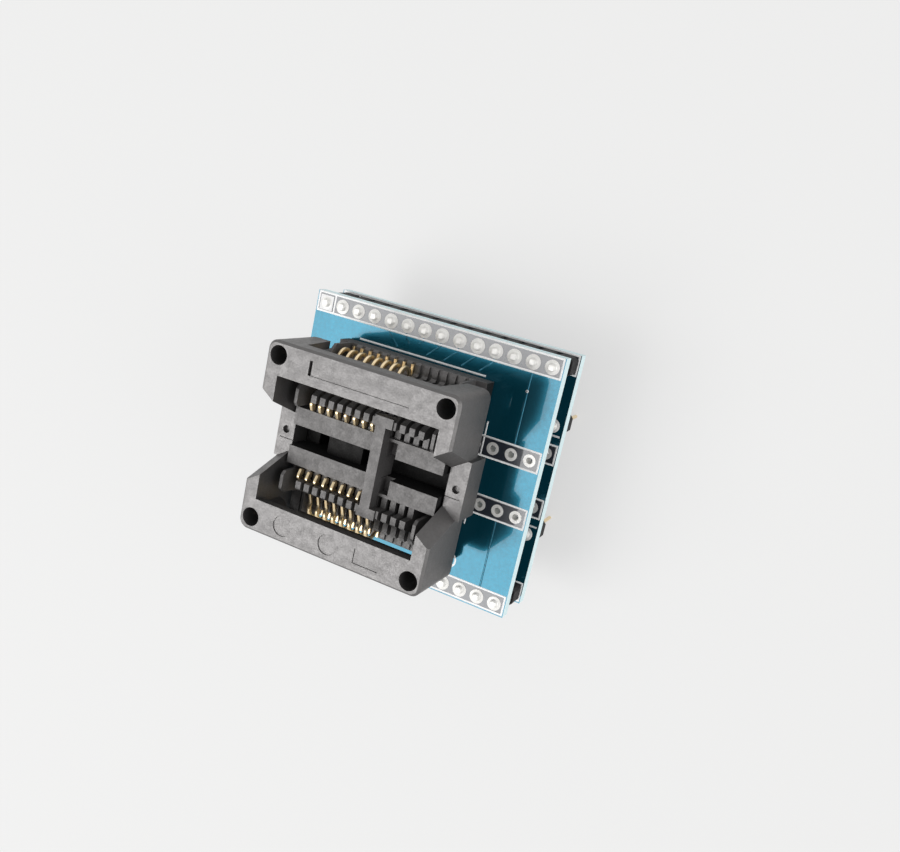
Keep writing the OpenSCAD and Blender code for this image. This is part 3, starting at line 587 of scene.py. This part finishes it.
def plastic_material(name, value, rough, sheen):
    """Black moulding with a fine mottled skin and a grey sheen"""
    material, tree, shader = new_material(name)
    shader.inputs["IOR"].default_value = 1.7
    shader.inputs["Specular IOR Level"].default_value = sheen
    shader.inputs["Specular Tint"].default_value = (1.0, 0.97, 0.96, 1.0)
    tone, height = grain(tree, grains=5200.0, patches=900.0, sharpness=0.16)
    mottle(tree, shader, tone, value, dark=0.72, light=1.22)
    roughen(tree, shader, tone, dark=rough + 0.12, light=rough - 0.08)
    relief(tree, shader, height, depth=0.03 * MM, strength=0.5)
    return material


def metal_material(name, value, rough, grains, metal):
    """Plated or soldered metal with a slightly uneven skin"""
    material, tree, shader = new_material(name)
    tone, height = grain(tree, grains=grains, patches=grains / 6, sharpness=0.2)
    mottle(tree, shader, tone, value, dark=0.88, light=1.08)
    roughen(tree, shader, tone, dark=rough + 0.1, light=rough - 0.08)
    shader.inputs["Metallic"].default_value = metal
    relief(tree, shader, height, depth=0.02 * MM, strength=0.4)
    return material


def mask_material(name, value, rough, metal, coat, glow):
    """Clear glossy mask over copper, whose tinted glow shows through it, or over bare board, with painted
    light: an emission of its own colour
    """
    material, tree, shader = new_material(name)
    tone, height = grain(tree, grains=2600.0, patches=160.0, sharpness=0.22)
    mottle(tree, shader, tone, value, dark=0.82, light=1.18)
    roughen(tree, shader, tone, dark=rough + 0.04, light=rough - 0.04)
    shader.inputs["Metallic"].default_value = metal
    shader.inputs["Coat Weight"].default_value = coat
    shader.inputs["Coat Roughness"].default_value = 0.03
    relief(tree, shader, height, depth=0.002 * MM, strength=0.2)
    paint_glow(shader, value, glow)
    return material


def edge_material(look):
    """Cut edge of the board, with faint layers of glass cloth and a painted glow that lightens it in the
    shade
    """
    material, tree, shader = new_material("board_edge")
    place = add_node(tree, "ShaderNodeTexCoord").outputs["Object"]
    layers = add_node(tree, "ShaderNodeMapping", {"Vector": place, "Scale": (0.08, 0.08, 1.0)})
    weave = add_node(tree, "ShaderNodeTexNoise",
                     {"Vector": layers.outputs[0], "Scale": 6000.0, "Detail": 2.0}).outputs["Fac"]
    mottle(tree, shader, weave, look.edge, dark=0.75, light=1.3)
    roughen(tree, shader, weave, dark=0.7, light=0.5)
    relief(tree, shader, weave, depth=0.02 * MM, strength=0.4)
    paint_glow(shader, look.edge, look.edge_painted_glow)
    return material


def print_material(look):
    """White printed ink, a little worn"""
    material, tree, shader = new_material("board_print")
    tone, height = grain(tree, grains=4000.0, patches=600.0, sharpness=0.2)
    mottle(tree, shader, tone, look.print_colour, dark=0.9, light=1.06)
    roughen(tree, shader, tone, dark=0.6, light=0.45)
    relief(tree, shader, height, depth=0.005 * MM, strength=0.3)
    return material


def dress_node(node, material):
    """Gives a node that keeps its own shape its finish"""
    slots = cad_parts[node].data.materials
    slots.clear()
    slots.append(material)


# Operators

class AdapterDressBoards(bpy.types.Operator):
    """Finish both boards with mask, cut edges and traces"""

    bl_idname = "adapter.dress_boards"
    bl_label = "Dress Boards"

    def execute(self, context):
        look = context.scene.adapter_boards
        # The mask's glow is painted light, an emission that lifts the shade on mask and traces
        copper = {"rough": 0.17, "metal": 0.83, "coat": 0.5, "glow": look.mask_painted_glow}
        mask = mask_material("solder_mask", look.mask, **copper)
        bare = mask_material("bare_mask", look.bare, rough=0.3, metal=0.0, coat=1.0, glow=0.0)
        trace = mask_material("trace_mask", look.trace, **copper)
        edge = edge_material(look)
        for node in ("upper_board", "lower_board"):
            piece = new_piece(node + "_finish", merged_copy(node))
            for material in (mask, edge, bare):
                piece.data.materials.append(material)
            self.mark_faces(piece.data, row_frames(look))
            settle(piece, "adapter", "solder_mask", node)
        traces = new_piece("upper_traces", paths_mesh("upper_traces", self.routes(look), BOARD_TOP, False))
        grow(traces, line_tree(), {"Width": look.trace_width, "Height": look.trace_height,
                                   "Corner": 1.0, "Material": trace})
        settle(traces, "adapter", "solder_mask")
        return {"FINISHED"}

    def mark_faces(self, mesh, frames):
        """Splits the faces along the row frames and gives each its finish: mask, cut edge or bare mask"""
        mask_slot, edge_slot, bare_slot = range(3)
        lows, highs = [box[0] for box in frames], [box[2] for box in frames]
        for axis in (0, 1):
            split_faces(mesh, axis, {corner[axis] for corner in lows + highs})
        for polygon in mesh.polygons:
            x, y, _ = polygon.center
            bare = any(low[0] < x < high[0] and low[1] < y < high[1] for low, high in zip(lows, highs))
            level = abs(polygon.normal.z) > LEVEL_NORMAL
            polygon.material_index = edge_slot if not level else bare_slot if bare else mask_slot

    def routes(self, look):
        """Traces from the rear row in towards the contact tails, and along the free end of the board"""
        step = (ARM_HIGH.x - ARM_LOW.x) / (CONTACTS - 1)
        start, end = LINK_Y - look.trace_start, SPRING_HIGH.y + look.trace_stop
        paths = []
        for k in TRACED_PINS:
            pin = FIRST_PIN + k * PITCH
            tail = SOCKET.x + (k - (ROW_PINS - 1) / 2) * step
            drop = min(abs(tail - pin), start - end)
            paths.append([(pin, LINK_Y), (pin, start), (pin + math.copysign(drop, tail - pin), start - drop)])
        for side in (1, -1):
            paths.append([(FREE_TRACE, side * (OPEN_Y + look.trace_start)), (FREE_TRACE, side * start)])
        return paths


class AdapterPrintBoards(bpy.types.Operator):
    """Print the white lines round the pad rows and the socket"""

    bl_idname = "adapter.print_boards"
    bl_label = "Print Boards"

    def execute(self, context):
        look = context.scene.adapter_boards
        ink = print_material(look)
        frames = row_frames(look)
        first = FIRST_PIN + PITCH / 2
        split = [[(first, frames[0][0][1]), (first, frames[0][2][1])]]
        ring_place = (FREE_TRACE - RING_PITCHES * PITCH, -SOCKET_HIGH.y - look.outline_y)
        ring = circle(ring_place, look.ring_radius, RING_SIDES)
        dot = circle((FREE_TRACE, SOCKET_HIGH.y), look.dot_radius, DOT_SIDES)
        boards = (("upper_print", BOARD_TOP, split + self.outline(look), [ring, dot]),
                  ("lower_print", LOWER_TOP, split + self.plug_lines(look), []))
        tree = line_tree()
        for name, top, lines, rounds in boards:
            pieces = []
            for part, paths, closed, corner in (("frames", frames, True, SQUARE_CORNER),
                                                ("lines", lines, False, 1.0), ("rounds", rounds, True, 1.0)):
                piece = new_piece(f"{name}_{part}", paths_mesh(name, paths, top, closed))
                pieces.append(grow(piece, tree, {"Width": look.print_width, "Height": look.print_height,
                                                 "Corner": corner, "Material": ink}))
            settle(joined(name, pieces), "adapter", "solder_mask")
        return {"FINISHED"}

    def outline(self, look):
        """Lines along the sides and ends of the socket, open at the corners"""
        side, end = SOCKET_HIGH.y + look.outline_y, look.outline_end
        low, high = SOCKET_LOW.x + look.outline_corner, SOCKET_HIGH.x - look.outline_corner
        along = [[(low, y), (high, y)] for y in (side, -side)]
        ends = (SOCKET_LOW.x + look.outline_x, SOCKET_HIGH.x - look.outline_x)
        return along + [[(x, -end), (x, end)] for x in ends]

    def plug_lines(self, look):
        """Lines between the plug-in pins and the open rows"""
        low, high = FIRST_PIN - look.frame_end, LAST_PIN + look.frame_end
        return [[(low, y), (high, y)] for y in (PLUG_Y - look.frame_gap, look.frame_gap - PLUG_Y)]


class AdapterSolder(bpy.types.Operator):
    """Make the solder joints, the tinned pads and the pins"""

    bl_idname = "adapter.solder"
    bl_label = "Solder Joints"

    def execute(self, context):
        look = context.scene.adapter_metals
        tin = metal_material("bright_solder", look.solder, rough=0.45, grains=2200.0, metal=0.3)
        gold = metal_material("gold_pins", look.gold, rough=0.32, grains=3000.0, metal=1.0)
        tree = row_tree()
        rows = [(f"{kind}_solder_{end}", (FIRST_PIN, side * y, z), up)
                for kind, y, z, up in (("upper", LINK_Y, BOARD_TOP, 1), ("lower", LINK_Y, LOWER_LOW.z, -1),
                                       ("plug", PLUG_Y, LOWER_TOP, 1))
                for end, side in ENDS]
        for node, start, up in rows:
            joint = new_piece(node + "_finish", self.joint(look, up))
            grow(joint, tree, {"Count": ROW_PINS, "Start": start, "Step": (PITCH, 0, 0), "Turn": 2 * math.pi,
                               "Spread": look.joint_spread, "Seed": look.seed, "Material": tin})
            if node == "upper_solder_rear":
                joint = joined(node + "_finish", [joint, new_piece("first_pad", self.first_pad(look))])
            settle(joint, "adapter", "tinned", node)
        for node in ("upper_open_pads", "lower_open_pads", "link_pins_rear", "link_pins_front",
                     "tail_solder_rear", "tail_solder_front"):
            dress_node(node, tin)
        for node in ("plug_pins_rear", "plug_pins_front"):
            dress_node(node, gold)
        return {"FINISHED"}

    def joint(self, look, up):
        """One joint: a flat wetted rim and a small mound round the pin"""
        profile = [(r * look.joint_radius, up * h * look.joint_height) for r, h in JOINT_PROFILE]
        mesh = mesh_from(turned(profile, JOINT_SIDES), "joint")
        smooth(mesh, JOINT_SHARP)
        return mesh

    def first_pad(self, look):
        """Square pad that marks the first pin"""
        bm = bmesh.new()
        bmesh.ops.create_cube(bm, size=1)
        side = 2 * look.joint_radius
        bmesh.ops.scale(bm, vec=(side, side, look.pad_height), verts=bm.verts)
        bmesh.ops.translate(bm, vec=(FIRST_PIN, LINK_Y, BOARD_TOP + look.pad_height / 2), verts=bm.verts)
        return mesh_from(bm, "first_pad")


class AdapterContactsBuild(bpy.types.Operator):
    """Stamp the contacts in one piece, bending from their tails to their heads"""

    bl_idname = "adapter.contacts"
    bl_label = "Contacts"

    def execute(self, context):
        look = context.scene.adapter_contacts
        gold = metal_material("gold_contacts", context.scene.adapter_metals.gold, rough=0.32, grains=3600.0,
                              metal=1.0)
        tree = row_tree()
        lead = (ARM_HIGH.x - ARM_LOW.x - look.thickness) / (CONTACTS - 1)
        first = ARM_LOW.x + look.thickness / 2
        for row, side in ENDS:
            halves = []
            for k, tail in ((0, look.loop_y), (1, look.loop_y - look.tail_stagger)):
                outline = [(side * y, z) for y, z in self.outline(look, tail)]
                mesh = mesh_from(extruded(outline, look.thickness, look.edge), "contact")
                smooth(mesh, CONTACT_SHARP)
                half = new_piece(f"contact_{row}_{k}", mesh)
                grow(half, tree, {"Count": CONTACTS // 2, "Start": (first + k * lead, 0, BOARD_TOP),
                                  "Step": (2 * lead, 0, 0), "Turn": 0.0, "Spread": 0.0, "Material": gold})
                halves.append(half)
            piece = joined(f"contacts_{row}", halves)
            smooth(piece.data, CONTACT_SHARP)
            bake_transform(piece)
            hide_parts(f"contact_springs_{row}", f"contact_arms_{row}")
        return {"FINISHED"}

    def outline(self, look, tail):
        """Side view of a contact, from its tail round the loop, up the arm and round the head"""
        centre = (look.loop_y, look.loop_z)
        low = SPRING_LOW.z - BOARD_TOP
        head, back = look.head_y, look.head_y + look.head_length
        foot, top = look.head_z, look.head_z + look.head_rise
        across = Vector((look.arm_width / 2, 0)).to_3d()
        across.rotate(Euler((0, 0, math.radians(KNEE_TURN))))
        half = look.tail_width / 2
        nose = (head + look.nose_radius, top - look.nose_drop - look.nose_radius)
        dome = (back - look.dome_radius, top - look.dome_radius)
        rise = Vector(dome) - Vector(nose)
        crest = 90 + math.degrees(math.atan2(rise.y, rise.x)
                                  + math.asin((look.dome_radius - look.nose_radius) / rise.length))
        bar_top = look.loop_z - look.loop_radius
        bar_low = bar_top - look.bar_height
        bar_out = look.loop_y + look.loop_radius + look.bar_end
        bar_in = look.loop_y - look.tail_stagger - look.tail_width
        points = [(bar_in, bar_low), (tail - half, bar_low), (tail - half, low), (tail + half, low)]
        points += [(tail + half, bar_low), (bar_out, bar_low), (bar_out, bar_top)]
        points += [(look.loop_y + look.loop_width, bar_top)]
        points += arc(centre, look.loop_radius, LOOP_OUTER_END, LOOP_ARM, LOOP_STEPS)
        points += [(look.knee_y + across[0], look.knee_z + across[1])]
        points += arc(dome, look.dome_radius, DOME_BACK, crest, HEAD_STEPS)
        points += arc(nose, look.nose_radius, crest, NOSE_FRONT, HEAD_STEPS)
        points += [(head, foot + look.tip_corner), (head + look.tip_corner, foot)]
        points += [(head + look.tip_flat, foot), (head + look.heel, foot + look.heel_rise)]
        points += [(look.knee_y - across[0], look.knee_z - across[1])]
        points += arc(centre, look.loop_radius - look.loop_width, LOOP_ARM, LOOP_INNER_END, LOOP_STEPS)
        points += [(look.loop_y - look.loop_width, bar_top), (bar_in, bar_top)]
        return points


class AdapterDressStrips(bpy.types.Operator):
    """Finish the moulded pin strips"""

    bl_idname = "adapter.dress_strips"
    bl_label = "Dress Strips"

    def execute(self, context):
        look = context.scene.adapter_socket
        plastic = plastic_material("strip_plastic", look.strip, rough=0.6, sheen=0.15)
        for node in ("link_strip_rear", "link_strip_front", "plug_strip_rear", "plug_strip_front"):
            settle(rounded_copy(node, look.strip_edge, plastic), "adapter", "header_plastic", node)
        return {"FINISHED"}


class AdapterDressSocket(bpy.types.Operator):
    """Finish the socket base, the chip stop and the actuating cover, with shade painted into the base's
    channel
    """

    bl_idname = "adapter.dress_socket"
    bl_label = "Dress Socket"

    def execute(self, context):
        look = context.scene.adapter_socket
        base = plastic_material("base_plastic", look.plastic, rough=0.6, sheen=1.0)
        cover = plastic_material("cover_plastic", look.plastic, rough=0.45, sheen=1.0)
        for node, edge, body, plastic in (("socket_base", look.base_edge, "adapter", base),
                                          ("chip_stop", look.base_edge, "adapter", base),
                                          ("actuating_cover", look.cover_edge, "cover", cover)):
            piece = rounded_copy(node, edge, plastic)
            if node == "socket_base":
                # Painted shade: a darker, duller plastic on the channel's floor and walls stands in for the
                # deep shade there
                channel = plastic_material("channel_painted_shade", look.channel, rough=0.7, sheen=0.2)
                piece.data.materials.append(channel)
                self.paint_channel_shade(piece.data, look)
            settle(piece, body, "socket_plastic", node)
        return {"FINISHED"}

    def paint_channel_shade(self, mesh, look):
        """Paints shade on the floor and the walls of the channel, as a darker and duller plastic than the
        rest of the base
        """
        painted_shade_slot = 1
        half = look.channel_width / 2 + look.base_edge
        top = BOARD_TOP + look.rail_height - look.base_edge
        for polygon in mesh.polygons:
            inside = abs(polygon.center.y) < half and BOARD_TOP < polygon.center.z < top
            between_ends = SOCKET_LOW.x < polygon.center.x < SOCKET_HIGH.x
            if inside and between_ends and polygon.normal.z > UNDERSIDE_NORMAL:
                polygon.material_index = painted_shade_slot


class AdapterSetStage(bpy.types.Operator):
    """Lay the floor, hang the lights and set the camera"""

    bl_idname = "adapter.set_stage"
    bl_label = "Set Stage"

    def execute(self, context):
        look = context.scene.adapter_stage
        self.floor(look)
        self.sky(context.scene, look)
        self.softbox("key", look.key, look.key_size, look.key_place)
        self.softbox("fill", look.fill, look.fill_size, look.fill_place)
        self.camera(context.scene, look)
        context.scene.view_settings.view_transform = "Standard"
        return {"FINISHED"}

    def floor(self, look):
        bm = bmesh.new()
        bmesh.ops.create_grid(bm, x_segments=1, y_segments=1, size=look.floor_size / 2)
        piece = new_piece("floor", mesh_from(bm, "floor"))
        material, tree, shader = new_material("pale_floor")
        shader.inputs["Base Color"].default_value = (*look.floor, 1)
        shader.inputs["Roughness"].default_value = 0.9
        shader.inputs["Specular IOR Level"].default_value = 0.1
        shader.inputs["Emission Color"].default_value = (1, 1, 1, 1)
        shown = spread_value(tree, self.seen(tree), 0.0, look.floor_glow)
        tree.links.new(shown, shader.inputs["Emission Strength"])
        piece.data.materials.append(material)

    def sky(self, scene, look):
        """Light that fades towards the ground, shown as a white backdrop to the camera and in reflections"""
        world = bpy.data.worlds.new("soft_sky")
        scene.world = world
        world.use_nodes = True
        tree = world.node_tree
        background = tree.nodes["Background"]
        way = add_node(tree, "ShaderNodeTexCoord").outputs["Generated"]
        height = add_node(tree, "ShaderNodeSeparateXYZ", {0: way}).outputs["Z"]
        light = spread_value(tree, height, look.horizon * look.sky, look.sky)
        shown = spread_value(tree, height, 1.0, look.ceiling)
        strength = add_node(tree, "ShaderNodeMix", {0: self.seen(tree), 2: light, 3: shown})
        tree.links.new(strength.outputs[0], background.inputs["Strength"])
        background.inputs["Color"].default_value = (1, 1, 1, 1)

    def seen(self, tree):
        """One for the rays that show the backdrop: from the camera, off gloss and through glass"""
        path = add_node(tree, "ShaderNodeLightPath").outputs
        shown = path["Is Camera Ray"]
        for ray in ("Is Glossy Ray", "Is Transmission Ray"):
            shown = add_node(tree, "ShaderNodeMath", {0: shown, 1: path[ray]}, operation="MAXIMUM").outputs[0]
        return shown

    def softbox(self, name, power, size, place):
        """A square soft light that faces the adapter"""
        light = bpy.data.lights.new(name, "AREA")
        light.size = size
        light.energy = power
        lamp = bpy.data.objects.new(name, light)
        lamp.location = place
        lamp.rotation_euler = (Vector((0, 0, BOARD_TOP)) - Vector(place)).to_track_quat("-Z", "Y").to_euler()
        bpy.context.scene.collection.objects.link(lamp)

    def camera(self, scene, look):
        data = bpy.data.cameras.new("camera")
        data.lens = look.lens
        data.sensor_width = 36.0
        data.sensor_fit = "HORIZONTAL"
        data.clip_start, data.clip_end = 0.005, 20.0
        camera = bpy.data.objects.new("camera", data)
        camera.location = look.camera_place
        camera.rotation_euler = Euler(look.camera_turn)
        scene.collection.objects.link(camera)
        scene.camera = camera


STEPS = (AdapterDressBoards, AdapterPrintBoards, AdapterSolder, AdapterContactsBuild,
         AdapterDressStrips, AdapterDressSocket, AdapterSetStage)


class AdapterPanel(bpy.types.Panel):
    """Steps and sizes of the adapter's finish"""

    bl_idname = "VIEW3D_PT_adapter"
    bl_label = "Programming Adapter"
    bl_space_type = "VIEW_3D"
    bl_region_type = "UI"
    bl_category = "Adapter"

    def draw(self, context):
        for name, group in GROUPS:
            box = self.layout.box()
            for prop in group.__annotations__:
                box.prop(getattr(context.scene, name), prop)
        for step in STEPS:
            self.layout.operator(step.bl_idname)


def register():
    for name, group in GROUPS:
        bpy.utils.register_class(group)
        setattr(bpy.types.Scene, name, PointerProperty(type=group))
    for item in (*STEPS, AdapterPanel):
        bpy.utils.register_class(item)


def unregister():
    for item in reversed((*STEPS, AdapterPanel)):
        bpy.utils.unregister_class(item)
    for name, group in reversed(GROUPS):
        delattr(bpy.types.Scene, name)
        bpy.utils.unregister_class(group)


def main():
    register()
    bpy.ops.adapter.dress_boards()
    bpy.ops.adapter.print_boards()
    bpy.ops.adapter.solder()
    bpy.ops.adapter.contacts()
    bpy.ops.adapter.dress_strips()
    bpy.ops.adapter.dress_socket()
    bpy.ops.adapter.set_stage()


if __name__ == "__main__":
    main()
